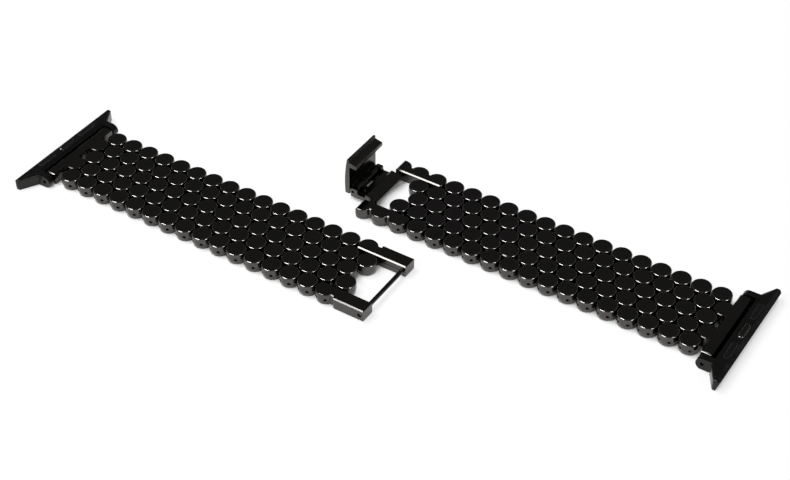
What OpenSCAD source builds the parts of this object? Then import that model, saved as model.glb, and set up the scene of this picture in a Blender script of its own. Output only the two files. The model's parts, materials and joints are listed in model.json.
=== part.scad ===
// Fish scale watch band, open, in two halves that lie side by side.
// Each half is a chain of round scales in five rows, pinned across. The clasp half ends in a
// frame with a folding clasp, the loop half in a frame with a rod that the clasp's hook catches.
// The outer end of each half carries a rail that slides into a watch case.
// Millimetres. X runs along the band towards the clasp half's adapter, Y across it, Z up from
// the table. Each half is drawn outwards along +X from the middle scale of its frame.

/* [Scales] */
// Distance between neighbouring scales of one row
scale_pitch = 4.9; // [4.6:0.05:5.2]
// Gap between neighbouring scales
scale_gap = 0.06; // [0.05:0.01:0.1]
// Height of a scale, and of the whole band
band_h = 3.0; // [2.7:0.1:3.3]
// Bevel round the top face of a scale
scale_bevel = 0.15; // [0.1:0.05:0.3]
// How far the foot of a scale is drawn in, so that the band can curl
foot_inset = 0.42; // [0.38:0.02:0.5]
// Links of five scales in each half
links = 15; // [10:1:18]

/* [Scale pins] */
// Diameter of the cross pins
pin_d = 0.7; // [0.5:0.05:0.8]
// Play all round a pin in its bore
pin_play = 0.03; // [0.02:0.005:0.05]
// How far the ends of a pin lie below the outer walls
pin_recess = 0.3; // [0.05:0.05:0.4]
// Depth of the short pins in the frame arms
stub_depth = 1.6; // [1.2:0.1:1.8]

/* [Frame arms] */
// Bevel along the straight edges of the arms and end links
edge_bevel = 0.25; // [0.15:0.05:0.35]
// Gap between the first scales and the clasp arms
clasp_arm_gap = 0.09; // [0.06:0.01:0.2]
// Width of the bar that joins the lobes of a clasp arm
clasp_bar_w = 2.55; // [2.3:0.05:2.9]
// Lobes on a clasp arm
clasp_lobes = 3; // [3:1:5]
// From the middle of a clasp arm's first lobe to its flat tip
clasp_tip = 0.7; // [0.3:0.1:1.2]
// Gap between the first scales and the loop arms
loop_arm_gap = 0.15; // [0.1:0.01:0.4]
// Width of the plain bar of a loop arm
loop_bar_w = 3.65; // [3.4:0.05:3.9]
// Length of the plain bar of a loop arm
loop_bar_len = 8.3; // [7.5:0.1:10]
// Width of the neck between a loop arm's lobe and its bar
loop_neck_w = 2.9; // [2.3:0.05:3.1]
// Length of that neck, from the middle of the lobe
loop_neck_len = 2.8; // [2.6:0.05:3.3]
// Round corner of the plain bar beside the neck
loop_corner_r = 0.8; // [0.4:0.1:1.2]
// Depth and height of the seam line inside a loop arm
seam = 0.14; // [0.1:0.02:0.2]

/* [Loop rod] */
// Diameter of the rod
rod_d = 1.06; // [0.9:0.02:1.1]
// From the rod's middle to the tip of the arms
rod_to_tip = 0.95; // [0.9:0.05:1.3]

/* [Clasp base] */
// Width of the base
base_w = 11.4; // [10.6:0.1:11.8]
// Raised part of the base, along the band
shelf_len = 3.35; // [3.1:0.05:3.8]
// How far the raised part reaches past the middle of the first lobe
shelf_lead = 2.0; // [1.8:0.05:2.3]
// Top of the raised part over the table, on the hinge's side
shelf_top = 2.95; // [2.8:0.05:3.1]
// How much lower the raised part is at its outer edge
shelf_fall = 0.5; // [0.2:0.05:0.6]
// Underside of the raised part over the table
shelf_z0 = 1.45; // [1.3:0.05:1.6]
// From the ears to the raised part, along the band
floor_len = 2.25; // [2.1:0.05:2.5]
// Top of the recessed floor over the table
floor_top = 2.1; // [2.0:0.05:2.3]
// Thickness of the recessed floor
floor_t = 1.05; // [0.9:0.05:1.2]
// Thickness of the floor under the hinge
hinge_floor_t = 0.4; // [0.3:0.05:0.45]
// Diameter of the two pins between the base and the arms
base_pin_d = 0.8; // [0.6:0.05:0.9]
// Wall round each of those pins
base_pin_wall = 0.35; // [0.3:0.05:0.4]

/* [Clasp hinge] */
// Height of the hinge axis over the table
hinge_z = 2.49; // [2.4:0.01:2.55]
// Radius of the ears
ear_r = 0.9; // [0.8:0.05:0.95]
// How far the ears reach past the hinge axis, towards the recessed floor
ear_len = 1.2; // [1.1:0.05:1.3]
// How far the ears reach behind the hinge axis
ear_back = 0.6; // [0.5:0.05:0.65]
// Width of each ear
ear_w = 1.2; // [1.0:0.05:1.4]
// Diameter of the hinge pin
hinge_pin_d = 0.7; // [0.5:0.05:0.8]
// Gap between moving parts of the clasp
clasp_gap = 0.08; // [0.06:0.01:0.12]

/* [Clasp cover] */
// Greatest thickness of the cover
cover_t = 1.24; // [1.0:0.02:1.4]
// Radius of the cover's rounded outer face
cover_curve_r = 37; // [30:1:60]
// From the hinge axis to the thickest line of the cover
cover_thick_z = 1.9; // [1:0.1:3]
// How far the cover reaches below its hinge axis
cover_tail = 0.99; // [0.8:0.01:1.05]
// Ridge of the cover above the lip
cover_ridge = 0.8; // [0.6:0.05:1.0]
// Thickness of the lip at its tip
lip_t = 0.8; // [0.6:0.05:1.0]
// How much thicker the lip is beside the cover
lip_rise = 0.5; // [0.2:0.05:0.6]
// How far the lip stands in from the cover
lip_len = 1.95; // [1.7:0.05:2.1]
// Gap between the lip and the base when the clasp is shut
lip_gap = 0.14; // [0.1:0.01:0.2]
// Barb along the tip of the lip
lip_barb = 0.1; // [0.04:0.01:0.1]

/* [Clasp hook] */
// Width of the hook
hook_w = 3.1; // [2.8:0.1:4]
// Thickness of the hook's bent sheet
hook_t = 0.4; // [0.35:0.05:0.45]
// Depth of the hook, in from the cover
hook_depth = 1.88; // [1.84:0.02:2.0]
// Height of the hook
hook_h = 0.7; // [0.6:0.05:1.0]
// Play beside the hook in its pocket in the base
slot_play = 0.15; // [0.1:0.05:0.3]
// From the hinge axis to the slot under the hinge
slot_lead = 0.5; // [0.4:0.05:0.6]
// Width of that slot, along the band
slot_w = 0.65; // [0.5:0.05:0.7]

/* [End link] */
// From the middle of the end lobes to the link's straight edge
link_edge = 1.0; // [0.8:0.05:1.3]
// Width of the end link
link_w = 21.0; // [20.4:0.1:21.4]
// From the end link's straight edge to the adapter's pin
link_to_pin = 1.45; // [1.35:0.05:1.7]
// From the adapter's pin to the outer face of the end link
link_nose = 1.3; // [1.1:0.05:1.4]
// Radius of the nose's upper and lower corners
nose_r = 0.8; // [0.6:0.05:1.0]

/* [Adapter] */
// Length of the rail, across the band
rail_len = 34; // [32:0.5:36]
// From the adapter's pin to the rail's outer face
rail_reach = 5.75; // [5.5:0.05:6]
// Radius of the rail's tips, seen from above
rail_tip_r = 0.9; // [0.6:0.1:1.2]
// Width of the rail where its ends begin to taper
rail_root_w = 3.9; // [3.6:0.05:4.0]
// Round upper edge of the rail's ends
rail_round = 0.8; // [0.4:0.1:1.2]
// Bevel along the top of the rail's outer side
rail_bevel = 0.9; // [0.4:0.05:0.9]
// Height of the rail's outer edge over the table
rail_edge_z = 2.15; // [1.9:0.05:2.4]
// How far the rail's foot stands in from its outer edge
rail_undercut = 0.7; // [0.3:0.05:0.8]
// Gap between the end link and the adapter
adapter_gap = 0.12; // [0.1:0.01:0.2]
// Gap between the end link's sides and the ears
ear_gap = 0.54; // [0.45:0.01:0.65]
// Width of each ear of the adapter
adapter_ear_w = 1.65; // [1.3:0.05:2]
// Radius of the trough along the adapter
trough_r = 1.4; // [1.2:0.05:2]
// Width of the trough beside the end link
trough_w = 0.8; // [0.6:0.05:0.9]
// Depth of the trough beside the end link
trough_depth = 0.5; // [0.4:0.05:0.7]
// Diameter of the adapter's pin
adapter_pin_d = 0.9; // [0.8:0.05:1.2]
// How far the ends of that pin lie below the ears
adapter_pin_recess = 0.5; // [0.2:0.05:0.6]
// From the adapter's pin to the middle of the ovals
oval_reach = 3.9; // [3.8:0.05:3.95]
// Distance between neighbouring ovals
oval_step = 7.1; // [6.5:0.1:8]
// Length of a pad
pad_len = 5.4; // [4:0.1:5.6]
// Width of a pad
pad_w = 1.25; // [1.1:0.05:1.4]
// Depth of a pad in its pocket
pad_depth = 0.4; // [0.3:0.05:0.5]
// How far a pad stands proud
pad_proud = 0.08; // [0.04:0.02:0.14]

/* [Lock button] */
// Length of the button's head
button_len = 5.0; // [3.5:0.1:5.2]
// Width of the button's head
button_w = 1.5; // [1.4:0.05:1.6]
// How far the button stands proud
button_proud = 0.35; // [0.2:0.05:0.4]
// Bevel round the top of the button
button_bevel = 0.3; // [0.1:0.05:0.35]
// Play round the button
button_play = 0.05; // [0.04:0.01:0.08]
// Flange that keeps the button in, all round
button_flange = 0.18; // [0.14:0.02:0.22]
// Thickness of that flange
flange_t = 0.45; // [0.4:0.05:0.5]
// Skin of the adapter over the flange
button_skin = 0.4; // [0.4:0.05:0.55]
// Floor of the adapter under the spring
button_floor = 0.9; // [0.8:0.05:0.95]
// How far the button can be pressed in
button_travel = 0.4; // [0.2:0.05:0.4]
// Thickness of the spring's wire
spring_wire = 0.22; // [0.18:0.02:0.24]
// Outer diameter of the spring
spring_d = 1.1; // [1.0:0.05:1.2]
// Turns of the spring
spring_turns = 2.5; // [2:0.5:3]

/* [Layout] */
// Distance between the middle lines of the two halves
halves_apart = 28.85; // [26:0.05:34]
// How far the loop half's frame lies towards the clasp half's adapter
halves_stagger = 9.16; // [0:0.01:20]

/* [Hidden] */
$fn = 48;
HALVES = ["clasp", "loop"];
HALF_PARTS = ["near_arm", "far_arm", "frame_scales", "frame_pins", "end_link", "end_pin",
    "adapter", "adapter_pin", "adapter_pads", "lock_button", "button_spring"];
CLASP_PARTS = ["clasp_base", "clasp_base_pins", "clasp_cover", "clasp_hook", "clasp_cover_pin"];
function two_digits(k) = k < 10 ? str("0", k) : str(k);

BLACK = "#26282b";
GUNMETAL = "#4a4c50";
STEEL = "#8d9096";

// Enough to cut right through
FAR = 60;
// Small chamfer under the straight edges
foot_chamfer = 0.15;
// Round upper corner of the clasp's ears
ear_round = 0.35;
// How far shapes that are joined run into each other
OVERLAP = 0.1;
// Chamfer at the corner of the hook
hook_chamfer = 0.2;
// How far the adapter's inner edge stands back from the hollow round the end link
trough_back = 0.22;
// Angle of the hollow's lower lip, below the adapter's pin
hollow_lip_angle = 55;
// How much the rail's round tips are flattened
tip_flat = 0.02;
// Play between the spring and its bore
spring_play = 0.1;

// Scales
scale_r = (scale_pitch - scale_gap) / 2;
row_step = scale_pitch * sin(60);
pin_r = pin_d / 2;
pin_z = band_h / 2;
pin_offset = scale_pitch / 4;
wall_taper = 0.06;
foot_h = 0.25;
foot_flare = foot_inset / 2;
scale_outline = [
    [0, 0],
    [scale_r - foot_inset, 0],
    [scale_r - foot_flare, foot_h],
    [scale_r, band_h / 2],
    [scale_r - wall_taper, band_h - scale_bevel],
    [scale_r - wall_taper - 0.9 * scale_bevel, band_h],
    [0, band_h]];
// Half the chord of a scale along a pin
pin_chord = sqrt(pow(scale_r, 2) - pow(pin_offset, 2));
outer_row = 2 * row_step;
pin_half_len = outer_row + pin_chord - pin_recess;

// Frame arms, from the middle scale of the frame outwards
stub_x = -3 * pin_offset;
clasp_arm_y = row_step + scale_r + clasp_arm_gap;
loop_arm_y = row_step + scale_r + loop_arm_gap;
first_lobe_x = -(clasp_lobes - 1) * scale_pitch;
clasp_tip_x = first_lobe_x - clasp_tip;
loop_tip_x = -loop_neck_len - loop_bar_len;
rod_x = loop_tip_x + rod_to_tip;
rod_half_len = loop_arm_y + loop_bar_w - pin_recess;

// Clasp base and cover
shelf_x1 = first_lobe_x + shelf_lead;
shelf_x0 = shelf_x1 - shelf_len;
floor_x0 = shelf_x0 - floor_len;
hinge_x = floor_x0 - ear_len;
floor_z0 = floor_top - floor_t;
base_pin_x = first_lobe_x + 0.9;
base_pin_z = 1.6;
boss_r = base_pin_d / 2 + base_pin_wall;
boss_y0 = base_w / 2 - 1;
boss_y1 = clasp_arm_y - clasp_arm_gap;
base_pin_y0 = boss_y0 + 0.2;
base_pin_y1 = clasp_arm_y + stub_depth;
ear_y0 = base_w / 2 - ear_w;
cover_face = hinge_x - ear_r - clasp_gap;
knuckle_r = ear_r - clasp_gap;
knuckle_w = 2 * (ear_y0 - clasp_gap);
lip_z = hinge_z + (shelf_x1 - hinge_x) + lip_gap;
lip_x = cover_face + lip_len;
lip_bevel = 0.15;
ridge_z = lip_z + lip_t + lip_rise;
cover_top = ridge_z + cover_ridge;
hook_z = hinge_z + ear_r;
hook_x = cover_face + hook_depth;
slot_half_w = hook_w / 2 + slot_play;
pocket_x0 = hinge_x + slot_lead;
pocket_x1 = hinge_x + norm([hook_x - hinge_x, hook_z + hook_h - hinge_z]) + clasp_gap;

// End link and adapter, from the middle of the end lobes outwards
end_x = (links + 0.5) * scale_pitch;
adapter_pin_x = link_edge + link_to_pin;
nose_x = adapter_pin_x + link_nose;
nose_reach = norm([link_nose - nose_r, band_h / 2 - nose_r]) + nose_r;
hollow_r = nose_reach + adapter_gap;
rail_x = adapter_pin_x + rail_reach;
adapter_ear_y0 = link_w / 2 + ear_gap;
adapter_ear_y1 = adapter_ear_y0 + adapter_ear_w;
oval_x = adapter_pin_x + oval_reach;
spring_z1 = band_h - button_skin - flange_t - button_play;
flange_z0 = spring_z1 - button_travel - button_play;

// Children of a half stand on the table, outwards along +X
module on_half(half) {
    if (half == "clasp")
        translate([clasp_half_x(), halves_apart / 2, 0]) children();
    else
        translate([loop_half_x(), -halves_apart / 2, 0]) mirror([1, 0, 0]) children();
}

// The origin lies under the middle of the whole band
function clasp_half_x() = -first_lobe_x - (halves_stagger - first_lobe_x) / 2;
function loop_half_x() = clasp_half_x() + first_lobe_x + halves_stagger;

module at_end() {
    translate([end_x, 0, 0]) children();
}

// An outline in X and Z, pushed along Y
module along_y(length) {
    rotate([90, 0, 0]) linear_extrude(height = length, center = true) children();
}

// An outline in Y and Z, pushed along X
module along_x(length) {
    rotate([90, 0, 90]) linear_extrude(height = length, center = true) children();
}

// A cylinder across the band, from y0 to y1, its seam turned away from the scales' widest line
module across(x, z, r, y0, y1) {
    translate([x, y1, z]) rotate([90, 0, 0]) rotate([0, 0, 40])
        cylinder(r = r, h = y1 - y0);
}

// Copies for the near and the far side
module both_sides() {
    children();
    mirror([0, 1, 0]) children();
}

// A bar's outline from a to b, with its edges bevelled
function bar_outline(a, b) = [
    [a + foot_chamfer, 0],
    [a, foot_chamfer],
    [a, band_h - edge_bevel],
    [a + edge_bevel, band_h],
    [b - edge_bevel, band_h],
    [b, band_h - edge_bevel],
    [b, foot_chamfer],
    [b - foot_chamfer, 0]];

module scale_blank() {
    rotate_extrude() polygon(scale_outline);
}

module pin_bore(x) {
    across(x, pin_z, pin_r + pin_play, -FAR / 2, FAR / 2);
}

// One scale, in row -2 to 2, at x
module fish_scale(x, row) {
    translate([x, row * row_step, 0]) difference() {
        scale_blank();
        pin_bore(-pin_offset);
        pin_bore(pin_offset);
    }
}

module full_pin(x) {
    across(x, pin_z, pin_r, -pin_half_len, pin_half_len);
}

// Link k: two scales, then three, with their two pins
module link_scales(k) {
    color(BLACK) {
        for (row = [-1, 1]) fish_scale((k - 0.5) * scale_pitch, row);
        for (row = [-2, 0, 2]) fish_scale(k * scale_pitch, row);
        full_pin(k * scale_pitch - 3 * pin_offset);
        full_pin(k * scale_pitch - pin_offset);
    }
}

module frame_scales() {
    color(BLACK) {
        for (row = [-1, 1]) fish_scale(-0.5 * scale_pitch, row);
        fish_scale(0, 0);
    }
}

// One pin right across, and a short one into each arm
module frame_pins(arm_y) {
    color(GUNMETAL) {
        full_pin(-pin_offset);
        both_sides()
            across(stub_x, pin_z, pin_r, row_step - pin_chord + pin_recess, arm_y + stub_depth);
    }
}

// Bores of the two scale pins and the short pin in an arm
module arm_bores(arm_y) {
    pin_bore(-pin_offset);
    pin_bore(pin_offset);
    across(stub_x, pin_z, pin_r + pin_play, arm_y - 1, arm_y + stub_depth + pin_play);
}

// Far arm of the clasp frame: lobes joined by a bar, cut straight inside and at the tip
module clasp_arm() {
    color(BLACK) difference() {
        intersection() {
            union() {
                for (n = [0 : clasp_lobes - 1])
                    translate([-n * scale_pitch, outer_row, 0]) scale_blank();
                translate([clasp_tip_x, 0, 0]) along_x(2 * -clasp_tip_x)
                    polygon(bar_outline(clasp_arm_y, clasp_arm_y + clasp_bar_w));
            }
            along_x(FAR) polygon(bar_outline(clasp_arm_y, FAR));
            along_y(FAR) polygon(bar_outline(clasp_tip_x, scale_r + 1));
        }
        arm_bores(clasp_arm_y);
        across(base_pin_x, base_pin_z, base_pin_d / 2 + pin_play,
            clasp_arm_y - 1, base_pin_y1 + pin_play);
    }
}

// Far arm of the loop frame: a lobe, a neck and a plain bar
module loop_arm() {
    bar_y1 = loop_arm_y + loop_bar_w;
    corner_x = -loop_neck_len - loop_corner_r;
    corner_y = bar_y1 - loop_corner_r;
    color(BLACK) difference() {
        union() {
            intersection() {
                translate([0, outer_row, 0]) scale_blank();
                along_x(FAR) polygon(bar_outline(loop_arm_y, FAR));
            }
            translate([corner_x / 2, 0, 0]) along_x(-corner_x)
                polygon(bar_outline(loop_arm_y, loop_arm_y + loop_neck_w));
            intersection() {
                linear_extrude(height = band_h) {
                    translate([loop_tip_x, loop_arm_y])
                        square([corner_x - loop_tip_x, loop_bar_w]);
                    translate([corner_x - OVERLAP, loop_arm_y])
                        square([loop_corner_r + OVERLAP, loop_bar_w - loop_corner_r]);
                    translate([corner_x, corner_y]) circle(r = loop_corner_r);
                }
                along_x(FAR) polygon(bar_outline(loop_arm_y, bar_y1));
                along_y(FAR) polygon(bar_outline(loop_tip_x, -loop_neck_len));
            }
        }
        arm_bores(loop_arm_y);
        across(rod_x, pin_z, rod_d / 2 + pin_play, loop_arm_y - 1, bar_y1 + 1);
        translate([loop_tip_x - 1, loop_arm_y - seam, pin_z - seam / 2])
            cube([FAR, 2 * seam, seam]);
    }
}

module loop_rod() {
    color(GUNMETAL) across(rod_x, pin_z, rod_d / 2, -rod_half_len, rod_half_len);
}

// Raised part, recessed floor and ears, with a boss for each side pin
module clasp_base() {
    ear_tail = ear_len + ear_back;
    color(GUNMETAL) difference() {
        union() {
            along_y(base_w) {
                polygon([
                    [floor_x0, floor_z0],
                    [shelf_x0 + foot_chamfer, floor_z0],
                    [shelf_x0 + 2 * foot_chamfer, shelf_z0],
                    [shelf_x1 - foot_chamfer, shelf_z0],
                    [shelf_x1, shelf_z0 + foot_chamfer],
                    [shelf_x1, shelf_top - shelf_fall - foot_chamfer],
                    [shelf_x1 - foot_chamfer, shelf_top - shelf_fall],
                    [shelf_x0 + 1.5 * foot_chamfer, shelf_top],
                    [shelf_x0, shelf_top - foot_chamfer],
                    [shelf_x0, floor_top],
                    [floor_x0, floor_top]]);
                translate([hinge_x - ear_back, floor_z0]) square([ear_tail + OVERLAP, hinge_floor_t]);
            }
            both_sides() {
                translate([0, ear_y0 + ear_w / 2, 0]) along_y(ear_w) {
                    translate([hinge_x, hinge_z]) circle(r = ear_r);
                    translate([hinge_x, hinge_z - OVERLAP])
                        square([ear_len - ear_round, ear_r + OVERLAP]);
                    translate([hinge_x + ear_len - ear_round, hinge_z + ear_r - ear_round])
                        circle(r = ear_round);
                    translate([hinge_x, hinge_z - OVERLAP])
                        square([ear_len, ear_r - ear_round + OVERLAP]);
                    translate([hinge_x - ear_back, floor_z0])
                        square([ear_tail + OVERLAP, hinge_z - floor_z0]);
                }
                translate([0, (boss_y0 + boss_y1) / 2, 0]) along_y(boss_y1 - boss_y0)
                    translate([base_pin_x, base_pin_z]) circle(r = boss_r);
            }
        }
        across(hinge_x, hinge_z, hinge_pin_d / 2 + pin_play, -FAR / 2, FAR / 2);
        across(base_pin_x, base_pin_z, base_pin_d / 2 + pin_play, -FAR / 2, FAR / 2);
        translate([pocket_x0, -slot_half_w, floor_z0 - 1])
            cube([slot_w, 2 * slot_half_w, FAR]);
        translate([pocket_x0, -slot_half_w, floor_z0 + hinge_floor_t])
            cube([pocket_x1 - pocket_x0, 2 * slot_half_w, FAR]);
    }
}

module clasp_base_pins() {
    color(GUNMETAL) both_sides()
        across(base_pin_x, base_pin_z, base_pin_d / 2, base_pin_y0, base_pin_y1);
}

module clasp_cover_pin() {
    half_len = base_w / 2 - pin_recess;
    color(STEEL) across(hinge_x, hinge_z, hinge_pin_d / 2, -half_len, half_len);
}

// Cover, standing open, with its lip near the top and its knuckle between the ears
module clasp_cover() {
    back = cover_face - cover_t;
    tail_z = hinge_z - cover_tail;
    color(BLACK) difference() {
        union() {
            along_y(base_w) intersection() {
                polygon([
                    [cover_face, tail_z],
                    [back + edge_bevel, tail_z],
                    [back, tail_z + edge_bevel],
                    [back, cover_top],
                    [cover_face - lip_bevel, cover_top],
                    [cover_face, cover_top - lip_bevel],
                    [cover_face, ridge_z],
                    [lip_x - lip_bevel, lip_z + lip_t + lip_bevel / 2],
                    [lip_x, lip_z + lip_t - lip_bevel / 2],
                    [lip_x, lip_z - lip_barb],
                    [lip_x - 2 * lip_bevel, lip_z],
                    [cover_face, lip_z]]);
                translate([back + cover_curve_r, hinge_z + cover_thick_z])
                    circle(r = cover_curve_r, $fn = 240);
            }
            along_y(knuckle_w) {
                translate([hinge_x, hinge_z]) circle(r = knuckle_r);
                translate([cover_face - OVERLAP, hinge_z - knuckle_r])
                    square([hinge_x - cover_face + OVERLAP, 2 * knuckle_r]);
            }
        }
        across(hinge_x, hinge_z, hinge_pin_d / 2 + pin_play, -FAR / 2, FAR / 2);
    }
}

// Bent sheet on the cover's inner face, open towards the lip
module clasp_hook() {
    color(STEEL) along_y(hook_w) polygon([
        [cover_face, hook_z],
        [hook_x - hook_chamfer, hook_z],
        [hook_x, hook_z + hook_chamfer],
        [hook_x, hook_z + hook_h],
        [hook_x - hook_t, hook_z + hook_h],
        [hook_x - hook_t, hook_z + hook_t],
        [cover_face, hook_z + hook_t]]);
}

// Two lobes and a straight-edged bar round the adapter's pin
module end_link() {
    nose_mid = nose_x - nose_r;
    color(BLACK) at_end() difference() {
        union() {
            for (row = [-1, 1]) translate([0, row * row_step, 0]) scale_blank();
            intersection() {
                along_y(link_w) {
                    translate([link_edge, 0]) square([nose_mid - link_edge, band_h]);
                    translate([link_edge, nose_r])
                        square([nose_x - link_edge, band_h - 2 * nose_r]);
                    for (z = [nose_r, band_h - nose_r])
                        translate([nose_mid, z]) circle(r = nose_r);
                }
                along_x(FAR) polygon(bar_outline(-link_w / 2, link_w / 2));
                along_y(FAR) polygon(bar_outline(link_edge, FAR));
            }
        }
        pin_bore(-pin_offset);
        across(adapter_pin_x, pin_z, adapter_pin_d / 2 + pin_play, -FAR / 2, FAR / 2);
    }
}

module end_pin() {
    color(GUNMETAL) at_end() full_pin(-pin_offset);
}

// An outline in X and Y with round ends, long across the band
module oval(length, width) {
    square([width, length - width], center = true);
    for (side = [-1, 1]) translate([0, side * (length - width) / 2]) circle(d = width);
}

module at_oval(n) {
    translate([oval_x, n * oval_step, 0]) children();
}

// Outline in Y and Z of the rail's end, which lies at Y = 0
module rail_end() {
    polygon([
        [-FAR, 0],
        [-foot_chamfer, 0],
        [0, foot_chamfer],
        [0, band_h - rail_round],
        [-rail_round, band_h - rail_round],
        [-rail_round, band_h],
        [-FAR, band_h]]);
    translate([-rail_round, band_h - rail_round]) circle(r = rail_round);
}

// The rail past the far ear: a round tip, and a slanted side that runs into it
module rail_tip() {
    tip = [rail_x - rail_tip_r, rail_len / 2 + tip_flat - rail_tip_r];
    root = [rail_x - rail_root_w, adapter_ear_y1];
    span = tip - root;
    lean = atan2(span[1], span[0]) + asin(rail_tip_r / norm(span));
    touch = tip + rail_tip_r * [-sin(lean), cos(lean)];
    intersection() {
        linear_extrude(height = band_h) {
            translate(tip) circle(r = rail_tip_r);
            translate([0, adapter_ear_y0]) square([rail_x, tip[1] - adapter_ear_y0]);
            translate([0, adapter_ear_y0]) square(touch - [0, adapter_ear_y0]);
        }
        translate([rail_x, rail_len / 2, 0]) along_x(FAR) rail_end();
        translate([root[0], root[1], 0]) rotate([0, 0, lean]) along_x(FAR) rail_end();
    }
}

// The hollow round the end link's nose, open below, and the trough above it
module adapter_hollow() {
    lip = [hollow_r + trough_back, band_h - pin_z - trough_depth];
    chord = [trough_w, trough_depth];
    rise = sqrt(pow(trough_r, 2) - pow(norm(chord) / 2, 2));
    translate([adapter_pin_x, pin_z]) {
        circle(r = hollow_r);
        translate([0, -pin_z]) square([hollow_r * cos(hollow_lip_angle), pin_z]);
        polygon([[0, 0], [hollow_r, 0], lip, [lip[0], band_h], [0, band_h]]);
        translate(lip + chord / 2 + rise * [-chord[1], chord[0]] / norm(chord))
            circle(r = trough_r);
    }
}

// Ears round the pin, a trough, and the rail with its tapered ends
module adapter() {
    color(BLACK) at_end() difference() {
        intersection() {
            union() {
                along_y(2 * adapter_ear_y1) difference() {
                    translate([adapter_pin_x, 0]) square([rail_reach, band_h]);
                    adapter_hollow();
                }
                both_sides() {
                    translate([0, (adapter_ear_y0 + adapter_ear_y1) / 2, 0])
                        along_y(adapter_ear_w) {
                            translate([adapter_pin_x, pin_z]) circle(r = pin_z);
                            translate([adapter_pin_x, 0]) square([rail_reach, band_h]);
                        }
                    rail_tip();
                }
            }
            along_y(FAR) polygon([
                [0, 0],
                [rail_x - rail_undercut, 0],
                [rail_x, rail_edge_z],
                [rail_x - rail_bevel, band_h],
                [0, band_h]]);
        }
        across(adapter_pin_x, pin_z, adapter_pin_d / 2 + pin_play, -FAR / 2, FAR / 2);
        for (n = [-1, 1]) at_oval(n)
            translate([0, 0, band_h - pad_depth]) linear_extrude(height = 1) oval(pad_len, pad_w);
        at_oval(0) {
            translate([0, 0, button_floor]) cylinder(d = spring_d + 2 * spring_play, h = FAR);
            translate([0, 0, flange_z0]) linear_extrude(height = FAR)
                oval(button_len + 2 * button_play, button_w + 2 * button_play);
            translate([0, 0, flange_z0])
                linear_extrude(height = band_h - button_skin - flange_z0)
                oval(button_len + 2 * (button_flange + button_play),
                    button_w + 2 * (button_flange + button_play));
        }
    }
}

module adapter_pin() {
    half_len = adapter_ear_y1 - adapter_pin_recess;
    color(STEEL) at_end()
        across(adapter_pin_x, pin_z, adapter_pin_d / 2, -half_len, half_len);
}

module adapter_pads() {
    color(GUNMETAL) at_end() for (n = [-1, 1]) at_oval(n)
        translate([0, 0, band_h - pad_depth])
            linear_extrude(height = pad_depth + pad_proud) oval(pad_len, pad_w);
}

// Head with a bevelled top, and its flange, pushed up against the adapter's skin by the spring
module lock_button() {
    side = button_w / 2;
    end_y = (button_len - button_w) / 2;
    shoulder = band_h + button_proud - button_bevel;
    color(GUNMETAL) at_end() at_oval(0) {
        translate([0, 0, spring_z1]) linear_extrude(height = flange_t)
            oval(button_len + 2 * button_flange, button_w + 2 * button_flange);
        translate([0, 0, spring_z1]) linear_extrude(height = shoulder - spring_z1)
            oval(button_len, button_w);
        along_y(2 * end_y) polygon([
            [-side, shoulder],
            [side, shoulder],
            [side - button_bevel, shoulder + button_bevel],
            [button_bevel - side, shoulder + button_bevel]]);
        for (y = [-end_y, end_y]) translate([0, y, shoulder])
            cylinder(r1 = side, r2 = side - button_bevel, h = button_bevel);
    }
}

// Round wire wound between the button's floor and its flange
module button_spring() {
    sides = 6;
    steps = 12 * spring_turns;
    wire_r = spring_wire / 2;
    coil_r = spring_d / 2 - wire_r;
    rise = spring_z1 - button_floor - 2 * wire_r - 0.04;
    points = [for (i = [0 : steps], j = [0 : sides - 1])
        let (a = 360 * spring_turns * i / steps, b = 360 * j / sides,
            r = coil_r + wire_r * cos(b))
        [r * cos(a), r * sin(a), rise * i / steps + wire_r * sin(b)]];
    walls = [for (i = [0 : steps - 1], j = [0 : sides - 1])
        let (k = (j + 1) % sides)
        each [[i * sides + j, i * sides + k, (i + 1) * sides + k],
            [i * sides + j, (i + 1) * sides + k, (i + 1) * sides + j]]];
    first = [for (j = [1 : sides - 2]) [0, j + 1, j]];
    last = [for (j = [1 : sides - 2])
        [steps * sides, steps * sides + j, steps * sides + j + 1]];
    color(STEEL) at_end() at_oval(0) translate([0, 0, button_floor + wire_r + 0.02])
        polyhedron(points = points, faces = concat(walls, first, last));
}

for (half = HALVES) {
    for (k = [1 : links])
        on_half(half) link_scales(k);
    on_half(half) frame_scales();
    on_half(half) end_link();
    on_half(half) end_pin();
    on_half(half) adapter();
    on_half(half) adapter_pin();
    on_half(half) adapter_pads();
    on_half(half) lock_button();
    on_half(half) button_spring();
}
on_half("clasp") clasp_arm();  // clasp_far_arm
on_half("clasp") mirror([0, 1, 0]) clasp_arm();  // clasp_near_arm
on_half("clasp") frame_pins(clasp_arm_y);  // clasp_frame_pins
on_half("clasp") clasp_base();
on_half("clasp") clasp_base_pins();
on_half("clasp") clasp_cover();
on_half("clasp") clasp_hook();
on_half("clasp") clasp_cover_pin();
on_half("loop") loop_arm();  // loop_far_arm
on_half("loop") mirror([0, 1, 0]) loop_arm();  // loop_near_arm
on_half("loop") frame_pins(loop_arm_y);  // loop_frame_pins
on_half("loop") loop_rod();
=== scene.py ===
"""Fish scale watch band, lying open in two halves: finishes, refined pieces and stage."""

import json
import math

import bmesh
import bpy
from mathutils import Matrix, Vector


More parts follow.
